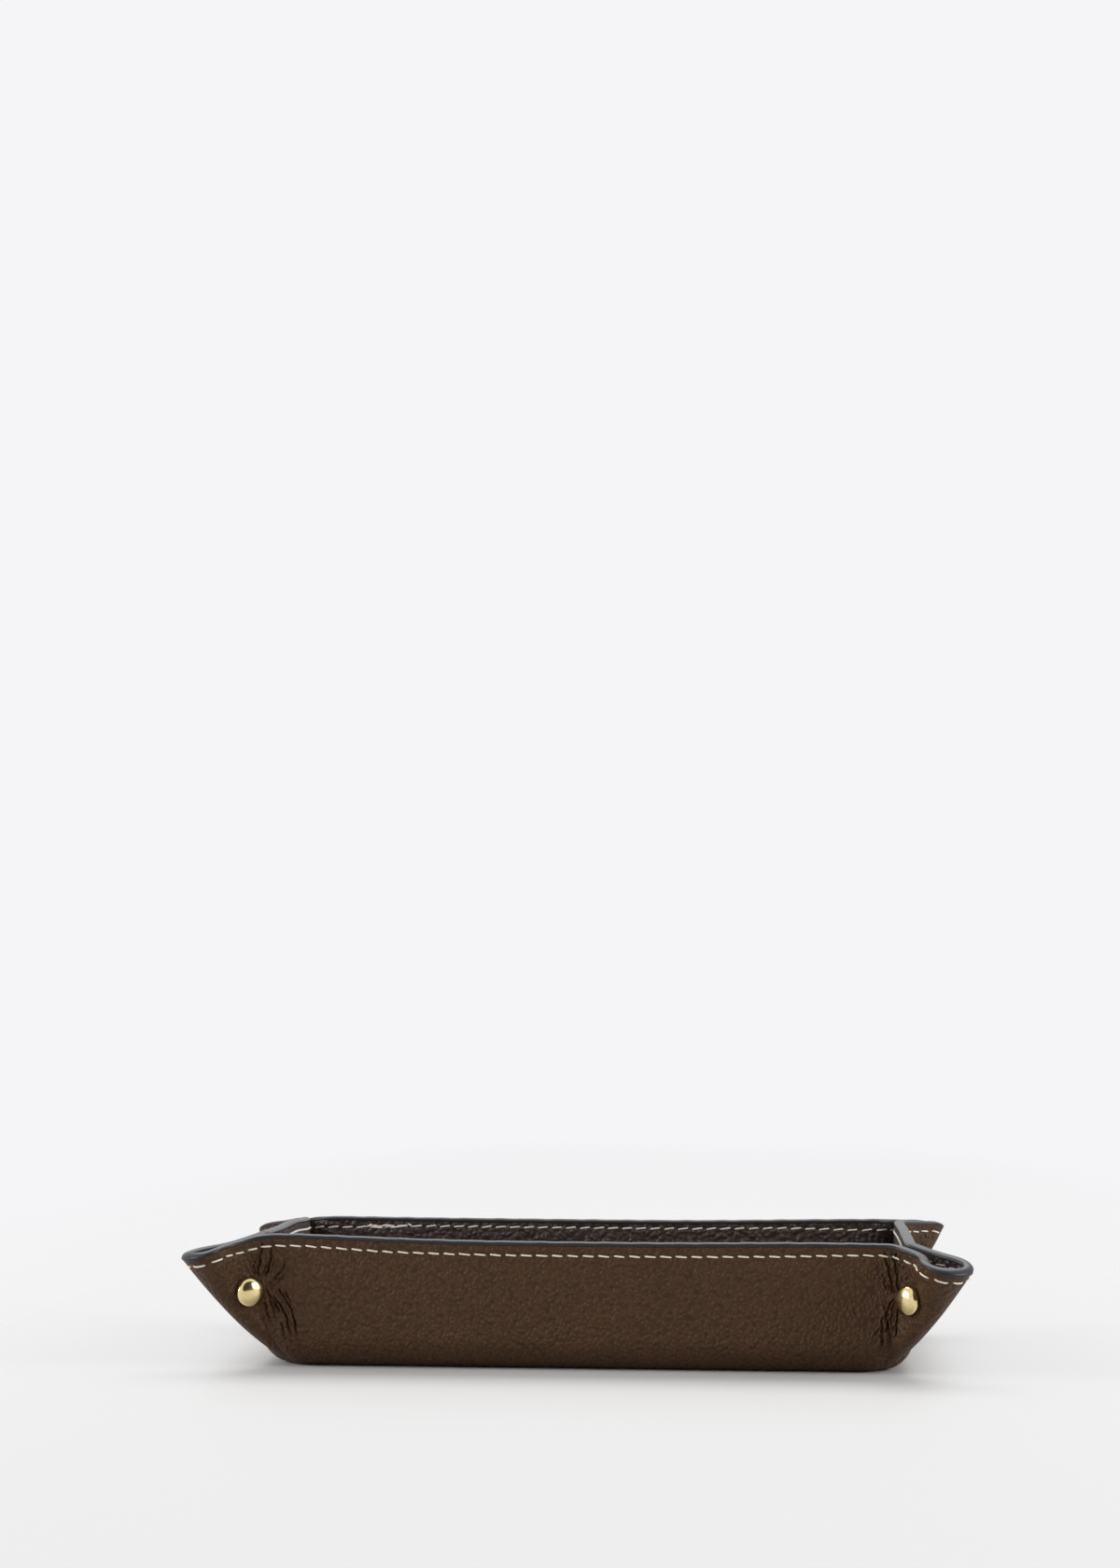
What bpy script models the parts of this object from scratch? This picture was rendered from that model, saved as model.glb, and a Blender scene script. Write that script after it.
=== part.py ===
"""Leather valet tray: an outer leather and a lining, stitched together, folded up into four walls and
pinched at each corner into an ear that a double-cap rivet holds shut.

Lengths are in metres and +Z is up. The origin is at the middle of the floor's underside, +X runs along
the long walls and -Y is the front.

The leathers follow one reference surface, the plane in which they meet. Its outline at each height is a
closed cubic B-spline through control points that are worked out from the sizes below. The share v runs
from 0, where the flat floor ends, to 1 at the leathers' raw edge.
"""

import math

import bmesh
import bpy
import numpy as np
from mathutils import Matrix, Vector

# Floor and walls
floor_length = 0.1801
floor_width = 0.0914
wall_height = 0.0397
floor_corner_radius = 0.0078
floor_bend_radius = 0.0080
wall_lean = 0.0006

# Leathers, board and edge coat
outer_thickness = 0.0016
lining_thickness = 0.0013
board_thickness = 0.0008
board_margin = 0.0016
coat_height = 0.0012
touch_gap = 0.0003

# Ears
ear_reach = 0.0351
fold_curve_power = 1.428
fold_radius = 0.0024
loop_half_width = 0.0052
pinch_gap = 0.0004
rim_spread = 0.0017
ear_start_share = 0.37
fold_top_share = 0.15
loop_start_share = 0.58

# Control points of a wall, by their distance from the floor's corner. The nearest one starts further off,
# at a share of the floor corner's radius, and comes in as the ear forms.
run_near = 0.0040
round_run_share = 1.2
run_far = 0.0300
long_wall_quarter = 0.0320

# Seam
stitch_pitch = 0.0047
stitch_length = 0.0033
thread_diameter = 0.0006
stitch_inset = 0.00375
stitch_clearance = 0.0003
stitch_bow = 0.00004
link_share = 0.4

# Rivets
rivet_height = 0.0230
rivet_setback_share = 0.475
cap_diameter = 0.0090
cap_height = 0.0030
cap_skirt = 0.0005
dome_power = 2.2
post_diameter = 0.0028
post_clearance = 0.0003
socket_depth = 0.0013
cutter_overrun = 0.0020
axis_merge = 0.00001

# Each ear's own shape, as shares of the wall's height or of the loop's half width, and its turn in degrees,
# how far each wall's rim sags in its middle and a long wall's towards its corners, and how much lower than
# even each wall's seam runs. Ears are in the order of CORNERS and walls in the order of WALLS. The flap on
# a long wall is the long flap, and the flap on a short wall is the short flap.
rise_shares = (0.0259, -0.0451, -0.0226, -0.0029)
droop_shares = (0.116, 0.179, 0.079, 0.160)
long_dip_shares = (0.0152, 0.0218, 0.0018, 0.0063)
short_dip_shares = (0.0315, 0.0026, 0.0102, -0.0100)
long_loop_shares = (1.185, 0.502, 0.48, 1.722)
short_loop_shares = (1.017, 1.086, 0.969, 0.868)
corner_turns = (-10.3, -2.7, 8.7, -3.2)
wall_sag_shares = (0.016, 0.0, 0.0513, 0.0)
long_end_sag_shares = (0.0, 0.050, 0.035, 0.0)
seam_drop_shares = (0.17, 0.0, -0.21, 0.0)

# Places of a flap's control points between the pinch and the back of the loop, how far that lies behind
# the nose and the nose's own half width as shares of the loop's, and its place on the way to the nose
flap_shares = (0.40, 0.70, 1.0)
loop_back_share = 0.915
nose_share = 0.72
loop_place_share = 0.613

# Angles in degrees from the corner's middle at which the rounded floor corner has its control points,
# the coat's roundness as the power of its height, and the tallest place of the pinch
round_angles = (33.0, 25.0, 17.0, 10.0, 3.5)
coat_power = 0.6
pinch_top_limit_share = 0.9

# Facets
bend_angles = (0.0, 42.0, 82.0)
wall_row_shares = (0.21, 0.29, 0.39, 0.55, 0.70, 0.82)
columns_per_span = {"run": 1, "wall": 1, "bend": 2, "flap": 3, "nose": 3}
dense_columns = 6
dense_rows = 60
seam_columns = 24
slope_step_share = 0.0001
sharp_angle = 50.0
round_steps = 16
dome_steps = 4
thread_sides = 3
coat_steps = 5

# Derived sizes
cover_half_gap = touch_gap / 2
floor_level = outer_thickness + cover_half_gap
leather_top = wall_height - coat_height - touch_gap
leather_rise = leather_top - floor_level
corner_foot = floor_corner_radius * (math.sqrt(2) - 1)
board_lift = board_thickness + touch_gap
flap_half = pinch_gap / 2 + lining_thickness + cover_half_gap
rivet_setback = rivet_setback_share * ear_reach
rivet_share = (rivet_height - floor_level) / leather_rise
cap_radius = cap_diameter / 2
pinch_low_share = rivet_share - cap_radius / leather_rise
pinch_top_share = min(pinch_top_limit_share, rivet_share + cap_radius / leather_rise)
thread_radius = thread_diameter / 2
seam_share = 1 - (stitch_inset - coat_height - touch_gap) / leather_rise
half_corner_points = len(flap_shares) + 4

WALLS = (("front", (0, -1)), ("left", (-1, 0)), ("back", (0, 1)), ("right", (1, 0)))
CORNERS = ("front_left", "back_left", "back_right", "front_right")


def smooth(x):
    """0 below 0 and 1 above 1, with an even slope at both ends."""
    x = np.clip(x, 0, 1)
    return x * x * (3 - 2 * x)


def soft_min(a, b, blend):
    """The smaller of two lengths, rounded over a blend length."""
    return (a + b - np.sqrt((a - b) ** 2 + blend ** 2)) / 2


def wall_offset(v):
    """How far a wall stands outside the flat floor's edge at share v: the floor bend, then the lean."""
    below = np.clip(floor_bend_radius - v * leather_rise, 0, floor_bend_radius)
    return np.sqrt(floor_bend_radius ** 2 - below ** 2) + wall_lean * v


def nose_reach(v):
    """How far the ear's folded edge stands outside the floor's corner at share v."""
    return (ear_reach + corner_foot) * v ** (1 / fold_curve_power) - corner_foot


def corner_places():
    """Each corner's point, its ear's direction and the two walls that meet in it, in order of travel."""
    places = {}
    for i, name in enumerate(CORNERS):
        (_, arriving), (_, leaving) = WALLS[i], WALLS[(i + 1) % len(WALLS)]
        diagonal = np.add(arriving, leaving)
        point = diagonal * (floor_length / 2, floor_width / 2)
        turn = math.radians(corner_turns[i])
        angle = math.atan2(diagonal[1], diagonal[0])
        places[name] = {
            "point": point,
            "square": np.array((math.cos(angle), math.sin(angle))),
            "ear": np.array((math.cos(angle + turn), math.sin(angle + turn))),
            "walls": (np.array(arriving, float), np.array(leaving, float)),
        }
    return places


PLACES = corner_places()


def beside(direction, outward):
    """The unit vector square to a direction, on the side that a wall faces."""
    side = np.array((-direction[1], direction[0]))
    return side if side @ outward > 0 else -side


def wall_steps(outward):
    """Places along a wall, from its middle, of the control points that are its own."""
    return (-long_wall_quarter, 0.0, long_wall_quarter) if outward[1] else (0.0,)


def flap_control(name, leaving, v):
    """Control points of half a corner, from the wall to the ear's nose, and their heights at v = 1.

    At v = 0 they lie on the floor's rounded corner, which moves out with the wall at one end and with the
    nose at the other. Higher up they follow the wall to the pinch, run out along the ear as a flap, and
    open into the loop behind the nose.
    """
    place, corner = PLACES[name], CORNERS.index(name)
    point, ear = place["point"], place["ear"]
    outward = place["walls"][leaving]
    away = np.array((outward[1], -outward[0])) * (1 if leaving else -1)
    side, square_side = beside(ear, outward), beside(place["square"], outward)
    is_long = bool(outward[1])
    offset = wall_offset(v)

    nose = nose_reach(v)
    opened = smooth((v - pinch_top_share) / (1 - pinch_top_share))
    pressed = smooth((v - fold_top_share) / (pinch_low_share - fold_top_share))
    half = fold_radius + (flap_half - fold_radius) * pressed + (rim_spread - pinch_gap) / 2 * opened
    loop = (long_loop_shares if is_long else short_loop_shares)[corner] * loop_half_width
    loop = fold_radius + (loop - fold_radius) * smooth((v - loop_start_share) / (1 - loop_start_share))
    back = nose - loop * loop_back_share
    pinch = (offset - half * (side @ outward)) / (ear @ outward)
    pinch = soft_min(pinch, back, fold_radius)
    pinch_half = (offset - pinch * (ear @ outward)) / (side @ outward)

    reach = [pinch] + [pinch + s * (back - pinch) for s in flap_shares] + [nose]
    half_width = [pinch_half] + [
        np.maximum(target, pinch_half * (1 - s))
        for s, target in zip(flap_shares, (half, half, np.maximum(half, loop)))
    ] + [loop * nose_share]

    turns = np.radians(round_angles)
    rounded = floor_corner_radius * (np.cos(turns) - math.sqrt(2)), floor_corner_radius * np.sin(turns)
    spread = offset * math.sqrt(2)
    further = (nose + corner_foot - spread) / (len(reach) - 1)
    formed = (1 - (1 - np.clip(v / ear_start_share, 0, 1)) ** 2)[:, None]

    round_run = floor_corner_radius * round_run_share
    near = round_run + (run_near - round_run) * formed
    points = [point + away * run + outward * offset[:, None] for run in (run_far, near)]
    for i, (a, b, a_floor, b_floor) in enumerate(zip(reach, half_width, *rounded)):
        on_ear = point + ear * a[:, None] + side * b[:, None]
        on_square = a_floor + spread + further * i
        on_round = point + place["square"] * on_square[:, None] + square_side * b_floor
        points.append(on_round + (on_ear - on_round) * formed)

    rise, droop = rise_shares[corner], droop_shares[corner]
    dip = (long_dip_shares if is_long else short_dip_shares)[corner]
    end_sag = long_end_sag_shares[corner] if is_long else 0
    heights = [1 - end_sag, 1 + rise, 1 + rise]
    along = [s * loop_place_share for s in flap_shares]
    heights += [1 + rise - (rise + droop) * s - dip * math.sin(math.pi * s) for s in along]
    heights += [1 - droop]
    return points, [leather_top * h for h in heights]


def control_net(v):
    """All control points of the outline at shares v, as an array (v, point, xy), with the heights of
    the raw edge over each and the kind of span that starts there."""
    points, heights, kinds = [], [], []
    for i, (_, outward) in enumerate(WALLS):
        outward = np.array(outward, float)
        travel = np.array((outward[1], -outward[0]))
        middle = outward * (floor_length / 2, floor_width / 2)
        for step in wall_steps(outward):
            points.append(middle + travel * step + outward * wall_offset(v)[:, None])
            heights.append(leather_top * (1 - wall_sag_shares[i]))
            kinds.append("run")
        name = CORNERS[i]
        arriving, arriving_heights = flap_control(name, 0, v)
        leaving, leaving_heights = flap_control(name, 1, v)
        points += arriving + leaving[::-1]
        heights += arriving_heights + leaving_heights[::-1]
        kinds += ["wall", "bend", "bend", "flap", "flap", "nose", "nose",
                  "nose", "flap", "flap", "bend", "bend", "wall", "run"]
    return np.stack(points, axis=1), np.array(heights), kinds


SPAN_KINDS = control_net(np.zeros(1))[2]
SPANS = len(SPAN_KINDS)


def spline_weights(u):
    """Weights of every control point of the closed cubic B-spline at places u, one row for each place."""
    start = np.floor(u).astype(int)
    f = u - start
    four = ((1 - f) ** 3, 3 * f ** 3 - 6 * f ** 2 + 4, -3 * f ** 3 + 3 * f ** 2 + 3 * f + 1, f ** 3)
    weights = np.zeros((len(u), SPANS))
    for k, w in enumerate(four):
        weights[np.arange(len(u)), (start + k - 1) % SPANS] += w / 6
    return weights


def reference(u, v):
    """Points of the reference surface at matched places u along the outline and shares v up it."""
    net, heights, _ = control_net(v)
    weights = spline_weights(u)
    plan = np.einsum("pk,pkc->pc", weights, net)
    z = floor_level + v * (weights @ heights - floor_level)
    return np.column_stack((plan, z))


def directions(u, v):
    """Unit outward normal of the reference surface, and its unit direction towards the raw edge."""
    step = slope_step_share
    low, high = np.clip(v - step, 0, 1), np.clip(v + step, 0, 1)
    along = reference(u + step, v) - reference(u - step, v)
    up = reference(u, high) - reference(u, low)
    speed = np.linalg.norm(up, axis=1) / (high - low)
    up /= np.linalg.norm(up, axis=1)[:, None]
    normal = np.cross(up, along)
    normal[v < step] = (0, 0, -1)
    return normal / np.linalg.norm(normal, axis=1)[:, None], up, speed


def face_points(u, v, offset):
    """Points at a distance outside the reference surface."""
    normal = directions(u, v)[0]
    return reference(u, v) + normal * np.reshape(offset, (-1, 1))


def outline_places():
    """Places u of the mesh's columns: a few for each span, closer where the outline bends."""
    places = [np.arange(SPANS + 1, dtype=float)[i] + np.arange(n) / n
              for i, n in enumerate(columns_per_span[kind] for kind in SPAN_KINDS)]
    return np.concatenate(places)


def row_shares():
    """Shares v of the mesh's rows: through the floor bend, up the wall, then the seam and the raw edge."""
    bend = [floor_bend_radius * (1 - math.cos(math.radians(a))) / leather_rise for a in bend_angles]
    return np.array(bend + list(wall_row_shares) + [seam_share, 1.0])


def grid(columns, rows, offset):
    """Rows of face points, as an array (row, column, xyz). The offset is a function of v."""
    u, v = np.meshgrid(columns, rows)
    return face_points(u.ravel(), v.ravel(), offset(v.ravel())).reshape(len(rows), len(columns), 3)


def material(name, colour, roughness, metallic=0.0):
    made = bpy.data.materials.new(name)
    made.use_nodes = True
    shader = made.node_tree.nodes["Principled BSDF"]
    shader.inputs["Base Color"].default_value = (*colour, 1)
    shader.inputs["Roughness"].default_value = roughness
    shader.inputs["Metallic"].default_value = metallic
    made.diffuse_color = (*colour, 1)
    return made


def collection(name):
    made = bpy.data.collections.new(name)
    bpy.context.scene.collection.children.link(made)
    return made


def add_object(name, data, group, finish=None):
    made = bpy.data.objects.new(name, data)
    group.objects.link(made)
    if finish:
        data.materials.append(finish)
    return made


def mesh_from(bm, name):
    bmesh.ops.recalc_face_normals(bm, faces=bm.faces[:])
    mesh = bpy.data.meshes.new(name)
    bm.to_mesh(mesh)
    bm.free()
    mesh.shade_smooth()
    mesh.set_sharp_from_angle(angle=math.radians(sharp_angle))
    return mesh


def loft(bm, rings, down=False, closed=False):
    """Triangles between one ring of points and the next. Returns the rings' vertices.

    The diagonals run one way on a face that is lofted up the wall and the other way on one that is
    lofted down it, so that faces which lie along each other have parallel facets.
    """
    made = [[bm.verts.new(p) for p in ring] for ring in rings]
    pairs = list(zip(made, made[1:])) + ([(made[-1], made[0])] if closed else [])
    for low, high in pairs:
        for i in range(len(low)):
            j = (i + 1) % len(low)
            if down:
                bm.faces.new((low[i], low[j], high[i]))
                bm.faces.new((low[j], high[j], high[i]))
            else:
                bm.faces.new((low[i], low[j], high[j]))
                bm.faces.new((low[i], high[j], high[i]))
    return made


def leather_shell(name, outside, inside, group, finish):
    """One leather: a loft up its outer face, over its raw edge and down its inner face, with a flat floor
    on each side. The offsets are functions of v."""
    columns, rows = outline_places(), row_shares()
    bm = bmesh.new()
    up = loft(bm, grid(columns, rows, outside))
    down = loft(bm, grid(columns, rows, inside)[::-1], down=True)
    for i, low in enumerate(up[-1]):
        j = (i + 1) % len(up[-1])
        bm.faces.new((low, up[-1][j], down[0][j], down[0][i]))
    bm.faces.new(up[0])
    bm.faces.new(down[-1])
    return add_object(name, mesh_from(bm, name), group, finish)


def floor_lift(v):
    """How much further in the lining lies at share v, to leave room for the board under the floor."""
    return board_lift * (1 - smooth(v * leather_rise / floor_bend_radius))


def floor_board(group, finish):
    """The stiffening board: the flat floor's outline drawn in by a margin, filled and given its thickness."""
    columns = outline_places()
    flat = reference(columns, np.zeros(len(columns)))[:, :2]
    along = np.roll(flat, -1, axis=0) - np.roll(flat, 1, axis=0)
    inward = np.column_stack((along[:, 1], -along[:, 0])) / np.linalg.norm(along, axis=1)[:, None]
    inward *= -np.sign(np.sum(inward * flat, axis=1))[:, None]
    outline = flat + inward * board_margin
    curve = bpy.data.curves.new("floor_board", "CURVE")
    curve.dimensions = "2D"
    curve.fill_mode = "BOTH"
    curve.extrude = board_thickness / 2
    spline = curve.splines.new("POLY")
    spline.points.add(len(outline) - 1)
    for point, (x, y) in zip(spline.points, outline):
        point.co = (x, y, 0, 1)
    spline.use_cyclic_u = True
    board = add_object("floor_board", curve, group, finish)
    board.location.z = outer_thickness + touch_gap + board_thickness / 2
    return board


def edge_coat(group, finish):
    """The painted edge: a rounded bead with a flat underside, carried along the raw edge of both leathers."""
    columns = outline_places()
    top = np.ones(len(columns))
    normal, up, _ = directions(columns, top)
    path = reference(columns, top)
    out = cover_half_gap + outer_thickness
    back = cover_half_gap + lining_thickness
    turns = np.linspace(0, math.pi, coat_steps + 2)[1:-1]
    across = [-back] + [(out - back) / 2 - (out + back) / 2 * math.cos(t) for t in turns] + [out]
    lift = [0.0] + [coat_height * math.sin(t) ** coat_power for t in turns] + [0.0]
    rings = [path + normal * x + up * (touch_gap + y) for x, y in zip(across, lift)]
    bm = bmesh.new()
    loft(bm, rings, closed=True)
    return add_object("edge_paint", mesh_from(bm, "edge_paint"), group, finish)


def seam_inset(u):
    """The seam's distance from the rim at places u: each wall's own up to its far points, and the even one
    round the corners."""
    shares = []
    for i, (_, outward) in enumerate(WALLS):
        own, following = (1 + seam_drop_shares[j % len(WALLS)] for j in (i, i + 1))
        shares += [own] * (len(wall_steps(outward)) + 1)
        shares += [1.0] * (2 * half_corner_points - 2) + [following]
    return stitch_inset * np.interp(u, np.arange(SPANS + 1), shares + shares[:1])


def seam_line():
    """Places u, shares v and lengths along the seam's line."""
    u = np.arange(SPANS * seam_columns + 1) / seam_columns
    speed = directions(u, np.ones(len(u)))[2]
    v = 1 - (seam_inset(u) - coat_height - touch_gap) / speed
    line = reference(u, v)
    length = np.concatenate(([0], np.cumsum(np.linalg.norm(np.diff(line, axis=0), axis=1))))
    return u, v, length


def thread_section(group):
    """The thread's cross-section, a guide that both threads are drawn along their routes with."""
    curve = bpy.data.curves.new("thread_section", "CURVE")
    spline = curve.splines.new("POLY")
    spline.points.add(thread_sides - 1)
    for i, point in enumerate(spline.points):
        turn = -2 * math.pi * i / thread_sides
        point.co = (thread_radius * math.cos(turn), thread_radius * math.sin(turn), 0, 1)
    spline.use_cyclic_u = True
    guide = add_object("thread_section", curve, group)
    guide.hide_render = True
    guide.display_type = "WIRE"
    return guide


def seam_threads(name, side, section, group, finish):
    """One face's thread, an unbroken loop round the tray: a raised stitch, then a thin low link over the
    hole where the real thread goes down. Side is 1 for the outer face and -1 for the inner one."""
    u, v, length = seam_line()
    count = round(length[-1] / stitch_pitch)
    cover = cover_half_gap + (outer_thickness if side > 0 else lining_thickness) + stitch_clearance
    starts = np.arange(count) * length[-1] / count
    link = stitch_length + (length[-1] / count - stitch_length) / 2
    ends = np.stack((starts, starts + stitch_length / 2, starts + stitch_length, starts + link), axis=1)
    radii = thread_radius * np.array((1, 1, 1, link_share))
    place_u = np.interp(ends.ravel(), length, u)
    place_v = np.interp(ends.ravel(), length, v)
    stand = side * (cover + np.tile(radii, count))
    points = face_points(place_u, place_v, stand).reshape(count, 4, 3)
    bow = np.linalg.norm(points[:, 1] - (points[:, 0] + points[:, 2]) / 2, axis=1)
    kept = np.ones((count, 4), bool)
    kept[:, 1] = bow > stitch_bow
    route = points[kept]
    curve = bpy.data.curves.new(name, "CURVE")
    curve.dimensions = "3D"
    curve.bevel_mode = "OBJECT"
    curve.bevel_object = section
    spline = curve.splines.new("POLY")
    spline.points.add(len(route) - 1)
    for point, place, radius in zip(spline.points, route, np.tile(radii, (count, 1))[kept]):
        point.co = (*place, 1)
        point.radius = radius / thread_radius
    spline.use_cyclic_u = True
    return add_object(name, curve, group, finish)


def dome_profile():
    """The cap's outside as (radius, height), from the middle of the dome down to its seat."""
    rim = cap_height - cap_skirt
    turns = np.linspace(math.pi / 2, 0, dome_steps + 1)
    radii = cap_radius * np.cos(turns) ** (2 / dome_power)
    heights = cap_skirt + rim * np.sin(turns) ** (2 / dome_power)
    radii[0] = 0.0
    return list(zip(radii, heights)) + [(cap_radius, 0.0)]


def turned(name, profile, group, finish):
    """A solid of revolution about its own Z, from a profile that runs from the top to the bottom."""
    mesh = bpy.data.meshes.new(name)
    bm = bmesh.new()
    verts = [bm.verts.new((r, 0, z)) for r, z in profile]
    for a, b in zip(verts, verts[1:]):
        bm.edges.new((a, b))
    bm.to_mesh(mesh)
    bm.free()
    made = add_object(name, mesh, group, finish)
    screw = made.modifiers.new("turn", "SCREW")
    screw.axis = "Z"
    screw.steps = screw.render_steps = round_steps
    screw.use_merge_vertices = True
    screw.merge_threshold = axis_merge
    screw.use_smooth_shade = True
    return made


def stand_along(made, place, axis):
    """Puts a turned piece's origin at a place, with its own Z along an axis."""
    turn = Vector(axis).to_track_quat("Z", "Y").to_matrix().to_4x4()
    made.matrix_world = Matrix.Translation(Vector(place)) @ turn


def rivet_seats():
    """For each corner, the rivet's centre and, on each flap, its axis and how far out its cap sits."""
    places = np.arange(SPANS * dense_columns) / dense_columns
    shares = np.linspace(ear_start_share, 1, dense_rows)
    u, v = (a.ravel() for a in np.meshgrid(places, shares))
    outside = face_points(u, v, np.full(len(u), cover_half_gap + outer_thickness))
    seats = {}
    for name, place in PLACES.items():
        local = outside[:, :2] - place["point"]
        centre = np.append(place["point"] + place["ear"] * rivet_setback, rivet_height)
        near = np.hypot(local @ place["ear"] - rivet_setback, outside[:, 2] - rivet_height)
        under = near < cap_radius + touch_gap
        flaps = []
        for outward in place["walls"]:
            side = beside(place["ear"], outward)
            across = (local @ side)[under]
            flaps.append({"axis": np.append(side, 0.0), "seat": across[across > 0].max() + touch_gap,
                          "long": bool(outward[1])})
        seats[name] = {"centre": centre, "flaps": sorted(flaps, key=lambda f: not f["long"])}
    return seats


def rivet(name, seat, group, finish):
    """A head whose post goes through both flaps, and the cap that holds it from the other side."""
    long_flap, short_flap = seat["flaps"]
    grip = long_flap["seat"] + short_flap["seat"]
    post = post_diameter / 2
    socket = post + post_clearance
    head = turned("rivet_head_" + name, dome_profile() + [
        (post, 0.0),
        (post, -(grip + socket_depth - post_clearance)),
        (0.0, -(grip + socket_depth - post_clearance)),
    ], group, finish)
    stand_along(head, seat["centre"] + long_flap["axis"] * long_flap["seat"], long_flap["axis"])
    cap = turned("rivet_cap_" + name, dome_profile() + [
        (socket, 0.0), (socket, socket_depth), (0.0, socket_depth),
    ], group, finish)
    stand_along(cap, seat["centre"] + short_flap["axis"] * short_flap["seat"], short_flap["axis"])


def punch(name, seat, leathers, group):
    """The hole for a rivet's post through both flaps of each leather."""
    long_flap, short_flap = seat["flaps"]
    length = long_flap["seat"] + short_flap["seat"] + 2 * cutter_overrun
    bm = bmesh.new()
    bmesh.ops.create_cone(bm, cap_ends=True, segments=round_steps, radius1=post_diameter / 2 + post_clearance,
                          radius2=post_diameter / 2 + post_clearance, depth=length)
    cutter = add_object("punch_" + name, mesh_from(bm, "punch_" + name), group)
    middle = seat["centre"] + long_flap["axis"] * (long_flap["seat"] - short_flap["seat"]) / 2
    stand_along(cutter, middle, long_flap["axis"])
    cutter.hide_render = True
    cutter.display_type = "WIRE"
    for leather in leathers:
        cut = leather.modifiers.new("hole_" + name, "BOOLEAN")
        cut.operation = "DIFFERENCE"
        cut.solver = "EXACT"
        cut.object = cutter


def build():
    for old in list(bpy.data.objects):
        bpy.data.objects.remove(old, do_unlink=True)
    tray, cutters = collection("leather_tray"), collection("cutters")

    brown = material("brown_leather", (0.075, 0.036, 0.020), 0.5)
    dark = material("dark_lining", (0.034, 0.022, 0.018), 0.55)
    paint = material("edge_paint", (0.030, 0.030, 0.038), 0.25)
    cream = material("cream_thread", (0.64, 0.55, 0.42), 0.7)
    brass = material("polished_brass", (0.80, 0.62, 0.30), 0.15, 1.0)
    fibre = material("grey_fibreboard", (0.20, 0.17, 0.14), 0.9)

    outer = leather_shell("outer_leather", lambda v: cover_half_gap + outer_thickness + 0 * v,
                          lambda v: cover_half_gap + 0 * v, tray, brown)
    lining = leather_shell("lining_leather", lambda v: -cover_half_gap - floor_lift(v),
                           lambda v: -cover_half_gap - lining_thickness - floor_lift(v), tray, dark)
    floor_board(tray, fibre)
    edge_coat(tray, paint)
    section = thread_section(cutters)
    seam_threads("seam_thread_outer", 1, section, tray, cream)
    seam_threads("seam_thread_inner", -1, section, tray, cream)
    for name, seat in rivet_seats().items():
        rivet(name, seat, tray, brass)
        punch(name, seat, (outer, lining), cutters)


build()
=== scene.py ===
"""Leather valet tray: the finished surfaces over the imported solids, with the stage, lamps and camera.

Lengths are in metres and +Z is up. Both leathers follow one reference surface, the plane in which they
meet. Its outline at each height is a closed cubic B-spline through control points worked out from the
sizes below. The place u runs once round the tray, clockwise seen from above and one whole step for each
control point, and the share v runs from 0, where the flat floor ends, to 1 at the leathers' raw edge.
"""

import math

import bpy
import numpy as np
from bpy.props import FloatProperty, FloatVectorProperty, PointerProperty
from mathutils import Matrix, Vector


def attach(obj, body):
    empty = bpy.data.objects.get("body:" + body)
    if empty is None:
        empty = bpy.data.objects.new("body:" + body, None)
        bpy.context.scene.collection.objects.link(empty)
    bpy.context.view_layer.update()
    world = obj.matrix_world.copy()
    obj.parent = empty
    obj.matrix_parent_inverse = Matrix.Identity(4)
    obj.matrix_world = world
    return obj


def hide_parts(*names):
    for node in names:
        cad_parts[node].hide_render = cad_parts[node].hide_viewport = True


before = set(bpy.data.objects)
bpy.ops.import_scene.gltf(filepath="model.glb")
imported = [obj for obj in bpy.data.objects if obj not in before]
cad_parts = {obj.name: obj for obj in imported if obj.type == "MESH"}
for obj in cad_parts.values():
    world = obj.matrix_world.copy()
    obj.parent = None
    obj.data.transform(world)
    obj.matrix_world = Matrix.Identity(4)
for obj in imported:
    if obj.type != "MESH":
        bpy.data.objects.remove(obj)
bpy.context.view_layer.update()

bl_info = {
    "name": "Leather Valet Tray",
    "version": (1, 0, 0),
    "blender": (4, 5, 0),
    "location": "View3D > Sidebar > Tray",
    "description": "Builds a folded leather valet tray with stitched seams and riveted corners",
    "category": "Add Mesh",
}

# Floor and walls, as in the solids
floor_length = 0.1801
floor_width = 0.0914
wall_height = 0.0397
floor_corner_radius = 0.0078
floor_bend_radius = 0.0080
wall_lean = 0.0006
outer_thickness = 0.0016
lining_thickness = 0.0013
board_thickness = 0.0008
coat_height = 0.0012
touch_gap = 0.0003

# Ears
ear_reach = 0.0351
fold_curve_power = 1.428
fold_radius = 0.0024
loop_half_width = 0.0052
pinch_gap = 0.0004
rim_spread = 0.0017
ear_start_share = 0.37
fold_top_share = 0.15
loop_start_share = 0.58
run_near = 0.0040
round_run_share = 1.2
run_far = 0.0300
long_wall_quarter = 0.0320
rise_shares = (0.0259, -0.0451, -0.0226, -0.0029)
droop_shares = (0.116, 0.179, 0.079, 0.160)
long_dip_shares = (0.0152, 0.0218, 0.0018, 0.0063)
short_dip_shares = (0.0315, 0.0026, 0.0102, -0.0100)
long_loop_shares = (1.185, 0.502, 0.48, 1.722)
short_loop_shares = (1.017, 1.086, 0.969, 0.868)
corner_turns = (-10.3, -2.7, 8.7, -3.2)
wall_sag_shares = (0.016, 0.0, 0.0513, 0.0)
long_end_sag_shares = (0.0, 0.050, 0.035, 0.0)
seam_drop_shares = (0.17, 0.0, -0.21, 0.0)
flap_shares = (0.40, 0.70, 1.0)
loop_back_share = 0.915
nose_share = 0.72
loop_place_share = 0.613
round_angles = (33.0, 25.0, 17.0, 10.0, 3.5)
coat_power = 0.6
pinch_top_limit_share = 0.9

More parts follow.
